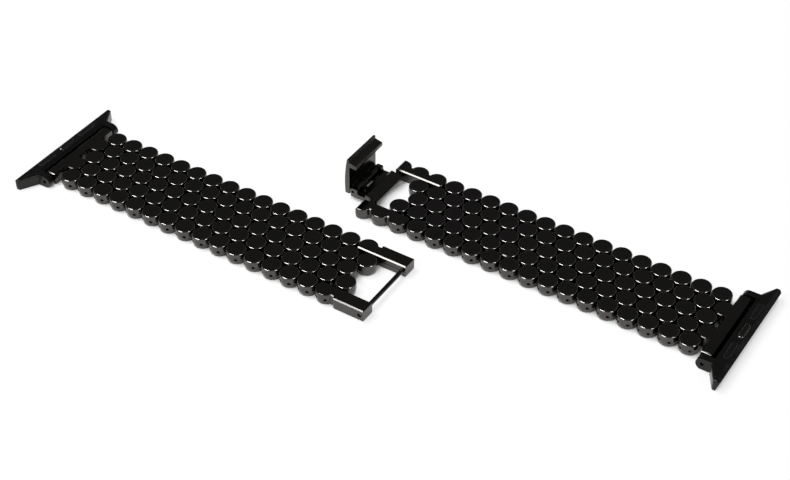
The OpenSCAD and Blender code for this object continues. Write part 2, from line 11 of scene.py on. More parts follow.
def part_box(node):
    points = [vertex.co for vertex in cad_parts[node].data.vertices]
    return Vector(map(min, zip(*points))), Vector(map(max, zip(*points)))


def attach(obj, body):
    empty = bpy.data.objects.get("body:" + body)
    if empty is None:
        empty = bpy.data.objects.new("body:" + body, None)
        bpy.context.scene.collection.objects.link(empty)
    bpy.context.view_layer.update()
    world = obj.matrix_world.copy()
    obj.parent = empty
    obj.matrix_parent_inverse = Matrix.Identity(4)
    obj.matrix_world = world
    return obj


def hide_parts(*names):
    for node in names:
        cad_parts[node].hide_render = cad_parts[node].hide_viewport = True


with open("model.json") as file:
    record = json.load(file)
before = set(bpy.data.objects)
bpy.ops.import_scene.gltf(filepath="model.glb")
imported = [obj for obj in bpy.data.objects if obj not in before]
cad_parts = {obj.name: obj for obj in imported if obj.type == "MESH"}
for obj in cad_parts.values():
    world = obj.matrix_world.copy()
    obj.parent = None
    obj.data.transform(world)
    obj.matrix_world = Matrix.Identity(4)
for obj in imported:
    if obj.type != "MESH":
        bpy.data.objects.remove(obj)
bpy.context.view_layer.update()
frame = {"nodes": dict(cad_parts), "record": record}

bl_info = {
    "name": "Fish scale watch band",
    "version": (1, 0, 0),
    "blender": (4, 5, 0),
    "location": "3D View > Sidebar > Watch band",
    "description": "Builds the looks of an open metal watch band around its packed frame",
    "category": "Object",
}

# The two halves, with the way along X that leads outwards on each
OUTWARD = {"clasp": 1.0, "loop": -1.0}
# Seeds for the small leans of the scales: the row's number is added to them
SEED = {"clasp": 5, "loop": 4}
BODY_OF = {
    node: body
    for body, nodes in frame["record"]["behaviour"]["bodies"].items()
    for node in nodes
}
LINKS = sum(name.startswith("clasp_scales_") for name in BODY_OF)
MM = 0.001
LINK_ROWS = 5
FRAME_ROWS = 3
ROW_STEP = math.sin(math.radians(60))

# Corners of at least these angles stay sharp, on the grown pieces and on the milled ones
GROWN_CREASE = math.radians(40)
MILLED_CREASE = math.radians(50)
# Milled parts: faces flatter to each other than the first are joined, edges sharper than the
# second are rounded
FLAT_JOINT = math.radians(0.4)
ROUNDED_EDGE = math.radians(28)
SAME_SPOT = 0.0005 * MM

# Noise on the platings and pads, in waves per metre
SMUDGES = 260.0
GRAIN = 3800.0
STIPPLE = 5200.0
FIBRES = 60.0


class BandSizes(bpy.types.PropertyGroup):
    """Sizes of the scales and of the softened edges"""

    pitch: bpy.props.FloatProperty(
        name="Pitch", description="Distance between neighbouring scales of one row",
        default=4.9 * MM, unit="LENGTH", subtype="DISTANCE", precision=5)
    scale_radius: bpy.props.FloatProperty(
        name="Scale radius", description="Radius of a scale at half its height",
        default=2.42 * MM, unit="LENGTH", subtype="DISTANCE", precision=5)
    height: bpy.props.FloatProperty(
        name="Height", description="Height of a scale",
        default=3.0 * MM, unit="LENGTH", subtype="DISTANCE", precision=5)
    top_bevel: bpy.props.FloatProperty(
        name="Top bevel", description="Height of the bevel round a scale's top face",
        default=0.21 * MM, unit="LENGTH", subtype="DISTANCE", precision=5)
    edge_round: bpy.props.FloatProperty(
        name="Edge rounding", description="Width of the rounding beside that bevel",
        default=0.03 * MM, unit="LENGTH", subtype="DISTANCE", precision=5)
    wall_taper: bpy.props.FloatProperty(
        name="Wall taper", description="How much narrower a scale is below its bevel",
        default=0.06 * MM, unit="LENGTH", subtype="DISTANCE", precision=5)
    foot_inset: bpy.props.FloatProperty(
        name="Foot inset", description="How far the foot of a scale is drawn in",
        default=0.42 * MM, unit="LENGTH", subtype="DISTANCE", precision=5)
    foot_height: bpy.props.FloatProperty(
        name="Foot height", description="Height of the steep part of a scale's foot",
        default=0.25 * MM, unit="LENGTH", subtype="DISTANCE", precision=5)
    pin_diameter: bpy.props.FloatProperty(
        name="Pin diameter", description="Diameter of the cross pins",
        default=0.7 * MM, unit="LENGTH", subtype="DISTANCE", precision=5)
    pin_play: bpy.props.FloatProperty(
        name="Pin play", description="Play all round a pin in its bore",
        default=0.03 * MM, unit="LENGTH", subtype="DISTANCE", precision=5)
    pin_recess: bpy.props.FloatProperty(
        name="Pin recess", description="How far a pin's ends lie below the outer walls",
        default=0.3 * MM, unit="LENGTH", subtype="DISTANCE", precision=5)
    tilt: bpy.props.FloatProperty(
        name="Scale tilt", description="How far a scale may lean from play on its pins",
        default=math.radians(0.5), unit="ROTATION", subtype="ANGLE")
    edge_soft: bpy.props.FloatProperty(
        name="Softened edge", description="Width of the rounding on edges of the milled parts",
        default=0.05 * MM, unit="LENGTH", subtype="DISTANCE", precision=5)


class BandFinish(bpy.types.PropertyGroup):
    """Colours and gloss of the platings"""

    plating: bpy.props.FloatVectorProperty(
        name="Plating", description="Colour of the black plating",
        default=(0.088, 0.083, 0.079), subtype="COLOR", size=3, min=0, max=1)
    rubbed: bpy.props.FloatVectorProperty(
        name="Rubbed edge", description="Colour of the plating where edges are polished bright",
        default=(0.24, 0.232, 0.224), subtype="COLOR", size=3, min=0, max=1)
    clasp_plating: bpy.props.FloatVectorProperty(
        name="Clasp plating", description="Colour of the clasp's satin plating",
        default=(0.1, 0.096, 0.09), subtype="COLOR", size=3, min=0, max=1)
    adapter_plating: bpy.props.FloatVectorProperty(
        name="Adapter plating", description="Colour of the deep black plating of the adapters",
        default=(0.029, 0.028, 0.027), subtype="COLOR", size=3, min=0, max=1)
    steel: bpy.props.FloatVectorProperty(
        name="Steel", description="Colour of the pins",
        default=(0.06, 0.058, 0.056), subtype="COLOR", size=3, min=0, max=1)
    pad: bpy.props.FloatVectorProperty(
        name="Pad", description="Colour of the matt oval pads",
        default=(0.005, 0.005, 0.0055), subtype="COLOR", size=3, min=0, max=1)
    # Pad rim: a painted highlight, a paler colour on the pads' rounded rims that stands in for the
    # light their edges catch
    pad_rim_highlight: bpy.props.FloatVectorProperty(
        name="Pad rim", description="Colour of the pads where their rims are rubbed",
        default=(0.1, 0.1, 0.1), subtype="COLOR", size=3, min=0, max=1)
    gloss: bpy.props.FloatProperty(
        name="Roughness", description="Roughness of the polished plating",
        default=0.07, subtype="FACTOR", min=0, max=1)


class BandStage(bpy.types.PropertyGroup):
    """Floor, lights and camera"""

    floor: bpy.props.FloatVectorProperty(
        name="Floor", description="Colour of the floor",
        default=(0.94, 0.94, 0.94), subtype="COLOR", size=3, min=0, max=1)
    floor_glow: bpy.props.FloatProperty(
        name="Floor glow", description="Share of plain white in the floor that is seen",
        default=0.8, subtype="FACTOR", min=0, max=1)
    left_light: bpy.props.FloatProperty(
        name="Left light", description="Power of the light on the left",
        default=11.0, unit="POWER", min=0)
    right_light: bpy.props.FloatProperty(
        name="Right light", description="Power of the light on the right",
        default=3.2, unit="POWER", min=0)
    top_light: bpy.props.FloatProperty(
        name="Top light", description="Power of the light above, behind the band",
        default=4.6, unit="POWER", min=0)
    room: bpy.props.FloatProperty(
        name="Room", description="Brightness of the dim room round the table",
        default=0.09, min=0, max=1)
    lens: bpy.props.FloatProperty(
        name="Lens", description="Focal length of the camera", default=74.32, min=1)
    distance: bpy.props.FloatProperty(
        name="Distance", description="From the camera to the middle of its view",
        default=371.26 * MM, unit="LENGTH", subtype="DISTANCE")
    azimuth: bpy.props.FloatProperty(
        name="Azimuth", description="How far the camera is turned round the band",
        default=math.radians(32.352), unit="ROTATION", subtype="ANGLE")
    elevation: bpy.props.FloatProperty(
        name="Elevation", description="How high the camera stands over the table",
        default=math.radians(40.793), unit="ROTATION", subtype="ANGLE")
    roll: bpy.props.FloatProperty(
        name="Roll", description="How far the camera leans sideways",
        default=math.radians(0.336), unit="ROTATION", subtype="ANGLE")
    target: bpy.props.FloatVectorProperty(
        name="Target", description="Middle of the camera's view",
        default=(3.769 * MM, -1.024 * MM, 3.0 * MM), subtype="TRANSLATION", size=3,
        precision=5)


def add(tree, kind, inputs=None, **settings):
    """A new node with its settings, its inputs set or linked."""
    node = tree.nodes.new(kind)
    for name, value in settings.items():
        setattr(node, name, value)
    for key, value in (inputs or {}).items():
        if isinstance(value, bpy.types.NodeSocket):
            tree.links.new(value, node.inputs[key])
        else:
            node.inputs[key].default_value = value
    return node


def calc(tree, operation, a, b=0.0):
    """The result of one sum on numbers or sockets."""
    return add(tree, "ShaderNodeMath", {0: a, 1: b}, operation=operation).outputs[0]


def colour(rgb):
    """That colour with full alpha."""
    return (rgb[0], rgb[1], rgb[2], 1.0)


def metal(name, plate, edge, rough, smudge=0.03, grain=0.08, streaks=(1.0, 1.0, 1.0),
          bare=1.0):
    """Plated metal: faint smudges, a fine grain in its gloss, brighter where edges are rubbed."""
    material = bpy.data.materials.new(name)
    material.use_nodes = True
    tree = material.node_tree
    shader = tree.nodes["Principled BSDF"]
    shader.inputs["Metallic"].default_value = bare
    place = add(tree, "ShaderNodeTexCoord").outputs["Object"]
    stretched = add(tree, "ShaderNodeMapping", {"Vector": place, "Scale": streaks}).outputs[0]
    clouds = add(tree, "ShaderNodeTexNoise",
                 {"Vector": place, "Scale": SMUDGES, "Detail": 4.0, "Roughness": 0.6})
    fine = add(tree, "ShaderNodeTexNoise",
               {"Vector": stretched, "Scale": GRAIN, "Detail": 3.0, "Roughness": 0.65})
    rubbed = add(tree, "ShaderNodeAttribute", attribute_name="rubbed").outputs["Fac"]
    darker = colour([0.86 * c for c in plate])
    lighter = colour([1.12 * c for c in plate])
    cloudy = add(tree, "ShaderNodeMix", {0: clouds.outputs[0], 6: darker, 7: lighter},
                 data_type="RGBA").outputs[2]
    share = add(tree, "ShaderNodeMapRange",
                {"Value": fine.outputs[0], "From Min": 0.3, "From Max": 0.7,
                 "To Min": 0.86, "To Max": 1.0}).outputs[0]
    worn = calc(tree, "MULTIPLY", rubbed, share)
    mixed = add(tree, "ShaderNodeMix", {0: worn, 6: cloudy, 7: colour(edge)},
                data_type="RGBA").outputs[2]
    tree.links.new(mixed, shader.inputs["Base Color"])
    gloss = add(tree, "ShaderNodeMapRange",
                {"Value": clouds.outputs[0], "From Min": 0.35, "From Max": 0.68,
                 "To Min": rough, "To Max": rough + smudge}).outputs[0]
    gloss = calc(tree, "ADD", gloss, calc(tree, "MULTIPLY", fine.outputs[0], 0.03))
    tree.links.new(gloss, shader.inputs["Roughness"])
    bump = add(tree, "ShaderNodeBump",
               {"Strength": grain, "Distance": 0.012 * MM, "Height": fine.outputs[0]})
    tree.links.new(bump.outputs[0], shader.inputs["Normal"])
    return material


def matt(name, rgb, edge):
    """Matt moulded pad with a fine stipple, and a painted highlight along its rim, where it is
    painted paler.
    """
    material = bpy.data.materials.new(name)
    material.use_nodes = True
    tree = material.node_tree
    shader = tree.nodes["Principled BSDF"]
    place = add(tree, "ShaderNodeTexCoord").outputs["Object"]
    stipple = add(tree, "ShaderNodeTexNoise",
                  {"Vector": place, "Scale": STIPPLE, "Detail": 3.0, "Roughness": 0.6})
    tone = add(tree, "ShaderNodeMix",
               {0: stipple.outputs[0], 6: colour([0.8 * c for c in rgb]),
                7: colour([1.3 * c for c in rgb])}, data_type="RGBA").outputs[2]
    # Painted highlight: the rim mask brings in the paler rim colour
    rubbed = add(tree, "ShaderNodeAttribute", attribute_name="rubbed").outputs["Fac"]
    rim = add(tree, "ShaderNodeMix", {0: rubbed, 6: tone, 7: colour(edge)},
              data_type="RGBA").outputs[2]
    tree.links.new(rim, shader.inputs["Base Color"])
    shader.inputs["Specular IOR Level"].default_value = 0.2
    gloss = add(tree, "ShaderNodeMapRange",
                {"Value": stipple.outputs[0], "To Min": 0.38, "To Max": 0.6}).outputs[0]
    tree.links.new(gloss, shader.inputs["Roughness"])
    bump = add(tree, "ShaderNodeBump",
               {"Strength": 0.35, "Distance": 0.02 * MM, "Height": stipple.outputs[0]})
    tree.links.new(bump.outputs[0], shader.inputs["Normal"])
    return material


def finish(name):
    """The material of that name, made the first time it is asked for."""
    if name in bpy.data.materials:
        return bpy.data.materials[name]
    look = bpy.context.scene.band_finish
    if name == "polished plating":
        return metal(name, look.plating, look.rubbed, look.gloss)
    if name == "milled plating":
        return metal(name, look.plating, look.rubbed, look.gloss + 0.04)
    if name == "deep plating":
        return metal(name, look.adapter_plating, look.rubbed, look.gloss + 0.15,
                     smudge=0.12, grain=0.25, bare=0.88)
    if name == "satin plating":
        return metal(name, look.clasp_plating, look.rubbed, look.gloss + 0.14,
                     grain=0.3, streaks=(1.0, 0.08, 1.0))
    if name == "drawn steel":
        return metal(name, look.steel, look.steel, look.gloss + 0.16,
                     grain=0.3, streaks=(1.0, 0.05, 1.0))
    if name == "matt pad":
        return matt(name, look.pad, look.pad_rim_highlight)
    raise KeyError(name)


def new_tree(name, sizes):
    """A geometry node tree with these inputs, and its input node."""
    tree = bpy.data.node_groups.new(name, "GeometryNodeTree")
    for label, kind in sizes:
        tree.interface.new_socket(label, in_out="INPUT", socket_type=kind)
    tree.interface.new_socket("Geometry", in_out="OUTPUT", socket_type="NodeSocketGeometry")
    return tree, tree.nodes.new("NodeGroupInput").outputs


def end_tree(tree, geometry, material):
    """Closes a tree: realized, shaded smooth but for sharp edges, with its material set."""
    real = add(tree, "GeometryNodeRealizeInstances", {"Geometry": geometry})
    smooth = add(tree, "GeometryNodeSetShadeSmooth", {"Geometry": real.outputs[0]})
    angle = add(tree, "GeometryNodeInputMeshEdgeAngle").outputs["Unsigned Angle"]
    sharp = add(tree, "GeometryNodeSetShadeSmooth",
                {"Geometry": smooth.outputs[0], "Shade Smooth": False,
                 "Selection": calc(tree, "GREATER_THAN", angle, GROWN_CREASE)},
                domain="EDGE")
    painted = add(tree, "GeometryNodeSetMaterial",
                  {"Geometry": sharp.outputs[0], "Material": finish(material)})
    tree.links.new(painted.outputs[0], tree.nodes.new("NodeGroupOutput").inputs[0])
    return tree


FLOAT, VECTOR, WHOLE = "NodeSocketFloat", "NodeSocketVector", "NodeSocketInt"

# Shape of a scale: sides of its round, and how wide its bevel is for its height
ROUND = 32
BEVEL_RUN = 0.9
BORE_SIDES = 16
# A scale's two bores lie this share of the pitch before and behind its middle
BORE_PLACES = (-0.25, 0.25)
# A pin's ends bulge by the first share of its radius and narrow to the second
PIN_SIDES = 20
PIN_DOME = 0.3
PIN_TIP = 0.6
# A link's two pins, in shares of the pitch outwards from its middle: the first, and the step
# to the next
PIN_FIRST = -0.75
PIN_STEP = 0.5

SCALE_SIZES = (
    ("Middle", VECTOR), ("Outward", FLOAT), ("Rows", WHOLE), ("Pitch", FLOAT),
    ("Radius", FLOAT), ("Height", FLOAT), ("Top bevel", FLOAT), ("Edge rounding", FLOAT),
    ("Wall taper", FLOAT), ("Foot inset", FLOAT), ("Foot height", FLOAT),
    ("Bore radius", FLOAT), ("Tilt", FLOAT), ("Seed", WHOLE))


def scale_shape(tree, size):
    """One scale, turned like a lathe part: foot, tapered wall, rounded bevel and flat top."""
    half = calc(tree, "MULTIPLY", size["Height"], 0.5)
    wall = calc(tree, "SUBTRACT", size["Radius"], size["Wall taper"])
    run = calc(tree, "MULTIPLY", size["Top bevel"], BEVEL_RUN)
    soft = size["Edge rounding"]
    part = calc(tree, "MULTIPLY", soft, 0.7)
    top = size["Height"]
    shoulder = calc(tree, "SUBTRACT", top, size["Top bevel"])
    brim = calc(tree, "SUBTRACT", wall, run)
    rings = (
        (calc(tree, "SUBTRACT", size["Radius"], size["Foot inset"]), 0.0),
        (calc(tree, "SUBTRACT", size["Radius"], calc(tree, "MULTIPLY", size["Foot inset"], 0.5)),
         size["Foot height"]),
        (size["Radius"], half),
        (wall, calc(tree, "SUBTRACT", shoulder, calc(tree, "MULTIPLY", soft, 2.5))),
        (wall, calc(tree, "SUBTRACT", shoulder, part)),
        (calc(tree, "SUBTRACT", wall, part), calc(tree, "ADD", shoulder, part)),
        (calc(tree, "ADD", brim, part), calc(tree, "SUBTRACT", top, part)),
        (calc(tree, "SUBTRACT", brim, part), top),
        (calc(tree, "SUBTRACT", brim, calc(tree, "MULTIPLY", soft, 3.5)), top))
    disc = add(tree, "GeometryNodeMeshCircle", {"Vertices": ROUND, "Radius": rings[0][0]},
               fill_type="NGON").outputs[0]
    solid, face = disc, True
    for (r0, z0), (r1, z1) in zip(rings, rings[1:]):
        grown = add(tree, "GeometryNodeExtrudeMesh",
                    {"Mesh": solid, "Selection": face, "Individual": False,
                     "Offset Scale": calc(tree, "SUBTRACT", z1, z0)})
        face = grown.outputs["Top"]
        solid = add(tree, "GeometryNodeScaleElements",
                    {"Geometry": grown.outputs["Mesh"], "Selection": face,
                     "Scale": calc(tree, "DIVIDE", r1, r0)}).outputs[0]
    base = add(tree, "GeometryNodeFlipFaces", {"Mesh": disc}).outputs[0]
    both = tree.nodes.new("GeometryNodeJoinGeometry")
    tree.links.new(base, both.inputs[0])
    tree.links.new(solid, both.inputs[0])
    whole = add(tree, "GeometryNodeMergeByDistance",
                {"Geometry": both.outputs[0], "Distance": 0.001 * MM}).outputs[0]
    place = add(tree, "GeometryNodeInputPosition").outputs[0]
    x, y, z = add(tree, "ShaderNodeSeparateXYZ", {0: place}).outputs
    reach = calc(tree, "SQRT", calc(tree, "ADD", calc(tree, "POWER", x, 2.0),
                                    calc(tree, "POWER", y, 2.0)))
    high = calc(tree, "GREATER_THAN", z,
                calc(tree, "SUBTRACT", shoulder, calc(tree, "MULTIPLY", soft, 1.5)))
    outer = calc(tree, "GREATER_THAN", reach,
                 calc(tree, "SUBTRACT", brim, calc(tree, "MULTIPLY", soft, 2.0)))
    return add(tree, "GeometryNodeStoreNamedAttribute",
               {"Geometry": whole, "Name": "rubbed", "Value": calc(tree, "MULTIPLY", high, outer)},
               data_type="FLOAT", domain="POINT").outputs[0]


def drilled(tree, size, scale):
    """A scale with its two cross bores."""
    rod = add(tree, "GeometryNodeMeshCylinder",
              {"Vertices": BORE_SIDES, "Radius": size["Bore radius"],
               "Depth": calc(tree, "MULTIPLY", size["Radius"], 3.0)}).outputs[0]
    cut = scale
    for side in BORE_PLACES:
        spot = add(tree, "ShaderNodeCombineXYZ",
                   {0: calc(tree, "MULTIPLY", size["Pitch"], side),
                    2: calc(tree, "MULTIPLY", size["Height"], 0.5)}).outputs[0]
        bore = add(tree, "GeometryNodeTransform",
                   {"Geometry": rod, "Translation": spot,
                    "Rotation": (math.pi / 2, 0.0, 0.0)}).outputs[0]
        cut = add(tree, "GeometryNodeMeshBoolean", {"Mesh 1": cut, "Mesh 2": bore},
                  operation="DIFFERENCE", solver="EXACT").outputs[0]
    return cut


def scales_tree():
    """Rows of scales round a middle point, every second row half a pitch back."""
    tree, size = new_tree("Pinned scales", SCALE_SIZES)
    plain = scale_shape(tree, size)
    line = add(tree, "GeometryNodeMeshLine", {"Count": size["Rows"]}).outputs[0]
    row = calc(tree, "SUBTRACT", add(tree, "GeometryNodeInputIndex").outputs[0],
               calc(tree, "MULTIPLY", calc(tree, "SUBTRACT", size["Rows"], 1.0), 0.5))
    far = calc(tree, "ABSOLUTE", row)
    back = calc(tree, "MULTIPLY", calc(tree, "MODULO", far, 2.0),
                calc(tree, "MULTIPLY", size["Pitch"], -0.5))
    shift = add(tree, "ShaderNodeCombineXYZ",
                {0: calc(tree, "MULTIPLY", back, size["Outward"]),
                 1: calc(tree, "MULTIPLY", row,
                         calc(tree, "MULTIPLY", size["Pitch"], ROW_STEP))})
    spot = add(tree, "ShaderNodeVectorMath", {0: size["Middle"], 1: shift.outputs[0]},
               operation="ADD").outputs[0]
    points = add(tree, "GeometryNodeSetPosition", {"Geometry": line, "Position": spot}).outputs[0]
    choice = tree.nodes.new("GeometryNodeGeometryToInstance")
    tree.links.new(drilled(tree, size, plain), choice.inputs[0])
    tree.links.new(plain, choice.inputs[0])
    lean = calc(tree, "MULTIPLY", size["Tilt"], -1.0)
    low = add(tree, "ShaderNodeCombineXYZ", {0: lean, 1: lean}).outputs[0]
    high = add(tree, "ShaderNodeCombineXYZ", {0: size["Tilt"], 1: size["Tilt"]}).outputs[0]
    random = add(tree, "FunctionNodeRandomValue",
                 {"Min": low, "Max": high, "Seed": size["Seed"]}, data_type="FLOAT_VECTOR")
    laid = add(tree, "GeometryNodeInstanceOnPoints",
               {"Points": points, "Instance": choice.outputs[0], "Pick Instance": True,
                "Instance Index": calc(tree, "GREATER_THAN", far, 1.5),
                "Rotation": random.outputs[0]})
    return end_tree(tree, laid.outputs[0], "polished plating")


PIN_SIZES = (("Middle", VECTOR), ("Outward", FLOAT), ("Pitch", FLOAT), ("Radius", FLOAT),
             ("Half length", FLOAT), ("Height", FLOAT))


def pins_tree():
    """Two cross pins behind a middle point, with domed ends."""
    tree, size = new_tree("Cross pins", PIN_SIZES)
    dome = calc(tree, "MULTIPLY", size["Radius"], PIN_DOME)
    body = add(tree, "GeometryNodeMeshCylinder",
               {"Vertices": PIN_SIDES, "Radius": size["Radius"],
                "Depth": calc(tree, "MULTIPLY", calc(tree, "SUBTRACT", size["Half length"], dome),
                              2.0)})
    both = add(tree, "FunctionNodeBooleanMath",
               {0: body.outputs["Top"], 1: body.outputs["Bottom"]}, operation="OR").outputs[0]
    grown = add(tree, "GeometryNodeExtrudeMesh",
                {"Mesh": body.outputs["Mesh"], "Selection": both, "Offset Scale": dome})
    shaped = add(tree, "GeometryNodeScaleElements",
                 {"Geometry": grown.outputs["Mesh"], "Selection": grown.outputs["Top"],
                  "Scale": PIN_TIP}).outputs[0]
    turned = add(tree, "GeometryNodeTransform",
                 {"Geometry": shaped, "Rotation": (math.pi / 2, 0.0, 0.0)}).outputs[0]
    line = add(tree, "GeometryNodeMeshLine", {"Count": 2}).outputs[0]
    index = add(tree, "GeometryNodeInputIndex").outputs[0]
    step = calc(tree, "ADD", calc(tree, "MULTIPLY", index, PIN_STEP), PIN_FIRST)
    shift = add(tree, "ShaderNodeCombineXYZ",
                {0: calc(tree, "MULTIPLY", calc(tree, "MULTIPLY", step, size["Pitch"]),
                         size["Outward"]),
                 2: calc(tree, "MULTIPLY", size["Height"], 0.5)}).outputs[0]
    spot = add(tree, "ShaderNodeVectorMath", {0: size["Middle"], 1: shift},
               operation="ADD").outputs[0]
    points = add(tree, "GeometryNodeSetPosition", {"Geometry": line, "Position": spot}).outputs[0]
    laid = add(tree, "GeometryNodeInstanceOnPoints", {"Points": points, "Instance": turned})
    return end_tree(tree, laid.outputs[0], "drawn steel")


def grow(name, tree, values):
    """The plain mesh that a tree makes from these values, in an object of its own."""
    seed = bpy.data.objects.new(name, bpy.data.meshes.new(name))
    bpy.context.scene.collection.objects.link(seed)
    nodes = seed.modifiers.new("Grow", "NODES")
    nodes.node_group = tree
    for item in tree.interface.items_tree:
        if item.item_type == "SOCKET" and item.in_out == "INPUT":
            nodes[item.identifier] = values[item.name]
    bpy.context.view_layer.update()
    seen = seed.evaluated_get(bpy.context.evaluated_depsgraph_get())
    mesh = bpy.data.meshes.new_from_object(seen)
    seed.modifiers.remove(nodes)
    seed.data = mesh
    mesh.name = name
    return seed


def stand_for(piece, node):
    """Lets a piece ride with the body of a node, in its place."""
    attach(piece, BODY_OF[node])
    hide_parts(node)
    return piece


def middle_of(half, node):
    """The middle of the scale on the half's middle line, on the table."""
    low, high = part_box(node)
    radius = bpy.context.scene.band_sizes.scale_radius
    x = high.x - radius if OUTWARD[half] > 0 else low.x + radius
    return x, (low.y + high.y) / 2, 0.0


def scale_values(sizes, half, node, rows, seed):
    """The inputs of the scales' tree for one node of a half."""
    return {
        "Middle": middle_of(half, node), "Outward": OUTWARD[half], "Rows": rows,
        "Pitch": sizes.pitch,
        "Radius": sizes.scale_radius, "Height": sizes.height, "Top bevel": sizes.top_bevel,
        "Edge rounding": sizes.edge_round, "Wall taper": sizes.wall_taper,
        "Foot inset": sizes.foot_inset, "Foot height": sizes.foot_height,
        "Bore radius": sizes.pin_diameter / 2 + sizes.pin_play, "Tilt": sizes.tilt, "Seed": seed}


def softened(node, width):
    """A copy of a CAD node, its triangles merged into faces and its sharp edges rounded."""
    name = node + "_finished"
    mesh = frame["nodes"][node].data.copy()
    mesh.name = name
    shape = bmesh.new()
    shape.from_mesh(mesh)
    # The rounded edges are marked: the platings show them as rubbed edges, the pads get a painted
    # highlight on them
    rubbed = shape.faces.layers.float.new("rubbed")
    bmesh.ops.remove_doubles(shape, verts=shape.verts, dist=SAME_SPOT)
    bmesh.ops.dissolve_limit(shape, angle_limit=FLAT_JOINT, verts=shape.verts,
                             edges=shape.edges, delimit=set())
    edges = [e for e in shape.edges
             if len(e.link_faces) == 2 and e.calc_face_angle(0.0) > ROUNDED_EDGE]
    result = bmesh.ops.bevel(shape, geom=edges, offset=width, offset_type="OFFSET",
                             segments=2, profile=0.6, affect="EDGES", clamp_overlap=True)
    for face in result["faces"]:
        face[rubbed] = 1.0
    for face in shape.faces:
        face.smooth = True
        face.material_index = 0
    for edge in shape.edges:
        edge.smooth = edge.calc_face_angle(0.0) < MILLED_CREASE
    shape.to_mesh(mesh)
    shape.free()
    piece = bpy.data.objects.new(name, mesh)
    bpy.context.scene.collection.objects.link(piece)
    weights = piece.modifiers.new("Weights", "WEIGHTED_NORMAL")
    weights.keep_sharp = True
    bpy.context.view_layer.update()
    seen = piece.evaluated_get(bpy.context.evaluated_depsgraph_get())
    flat = bpy.data.meshes.new_from_object(seen)
    piece.modifiers.remove(weights)
    piece.data = flat
    flat.name = name
    return piece


def paint(piece, material):
    """One material all over a piece."""
    piece.data.materials.clear()
    piece.data.materials.append(finish(material))
    return piece


def refine(nodes, material, width):
    """Softened copies stand in for these CAD nodes, with their finish."""
    for node in nodes:
        stand_for(paint(softened(node, width), material), node)


def keep(nodes, material):
    """CAD nodes that are right as they are get their finish."""
    for node in nodes:
        for slot in frame["nodes"][node].material_slots:
            slot.material = finish(material)


class BAND_OT_scales(bpy.types.Operator):
    """Lay the rows of round scales on every link and on both frames"""

    bl_idname = "band.scales"
    bl_label = "Round scales"

    def execute(self, context):
        sizes = context.scene.band_sizes
        tree = scales_tree()
        for half in OUTWARD:
            for k in range(1, LINKS + 1):
                node = f"{half}_scales_{k:02d}"
                values = scale_values(sizes, half, node, LINK_ROWS, SEED[half] + k)
                stand_for(grow(f"{half}_row_{k:02d}", tree, values), node)
            node = f"{half}_frame_scales"
            values = scale_values(sizes, half, node, FRAME_ROWS, SEED[half])
            stand_for(grow(f"{half}_frame_row", tree, values), node)
        return {"FINISHED"}


class BAND_OT_pins(bpy.types.Operator):
    """Put the cross pins through the scales, and finish the other pins"""

    bl_idname = "band.pins"
    bl_label = "Cross pins"

    def execute(self, context):
        sizes = context.scene.band_sizes
        tree = pins_tree()
        for half in OUTWARD:
            for k in range(1, LINKS + 1):
                node = f"{half}_scales_{k:02d}"
                low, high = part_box(node)
                chord = math.sqrt(sizes.scale_radius ** 2 - (sizes.pitch / 4) ** 2)
                reach = (high.y - low.y) / 2 - sizes.scale_radius + chord - sizes.pin_recess
                piece = grow(f"{half}_pins_{k:02d}", tree, {
                    "Middle": middle_of(half, node), "Outward": OUTWARD[half],
                    "Pitch": sizes.pitch, "Radius": sizes.pin_diameter / 2,
                    "Half length": reach, "Height": sizes.height})
                stand_for(piece, node)
            keep([f"{half}_frame_pins", f"{half}_end_pin", f"{half}_adapter_pin",
                  f"{half}_button_spring"], "drawn steel")
        keep(["clasp_base_pins", "clasp_cover_pin"], "drawn steel")
        keep(["loop_rod"], "milled plating")
        return {"FINISHED"}


class BAND_OT_frames(bpy.types.Operator):
    """Finish the arms of both frames and the end links"""

    bl_idname = "band.frames"
    bl_label = "Arms and end links"

    def execute(self, context):
        width = context.scene.band_sizes.edge_soft
        for half in OUTWARD:
            nodes = [f"{half}_{part}" for part in ("near_arm", "far_arm", "end_link")]
            refine(nodes, "milled plating", width)
        return {"FINISHED"}


class BAND_OT_clasp(bpy.types.Operator):
    """Finish the folding clasp: its base, its cover and its hook"""

    bl_idname = "band.clasp"
    bl_label = "Folding clasp"

    def execute(self, context):
        width = context.scene.band_sizes.edge_soft
        refine(["clasp_base", "clasp_cover"], "satin plating", width)
        refine(["clasp_hook"], "satin plating", width)
        return {"FINISHED"}


class BAND_OT_adapters(bpy.types.Operator):
    """Finish the watch adapters with their pads and lock buttons"""

    bl_idname = "band.adapters"
    bl_label = "Watch adapters"

    def execute(self, context):
        width = context.scene.band_sizes.edge_soft
        for half in OUTWARD:
            refine([f"{half}_adapter"], "deep plating", width)
            refine([f"{half}_adapter_pads"], "matt pad", 0.6 * width)
            refine([f"{half}_lock_button"], "polished plating", 2 * width)
        return {"FINISHED"}


# Radius and height in metres of the rings of the floor, which curls up far from the band
FLOOR_RINGS = ((0.5, 0.0), (1.9, 0.0), (2.3, 0.01), (2.5, 0.03), (2.62, 0.09), (2.66, 0.2))
FLOOR_SIDES = 96
# Painted shade: the floor's glow fades by ambient occlusion where things stand closer than this,
# between these shares of open air
GAP_REACH = 5 * MM
GAP_DARK = 0.12
GAP_OPEN = 0.62
# For each light: its azimuth, elevation and distance, its width and height, and its lean
# (degrees and metres)
LIGHTS = {
    "left light": ((-116.0, 42.0, 1.5), (1.0, 0.22), 17.0),
    "right light": ((-10.0, 32.0, 1.5), (0.5, 0.19), -19.0),
    "top light": ((178.0, 60.0, 0.7), (0.36, 0.36), 0.0),
}


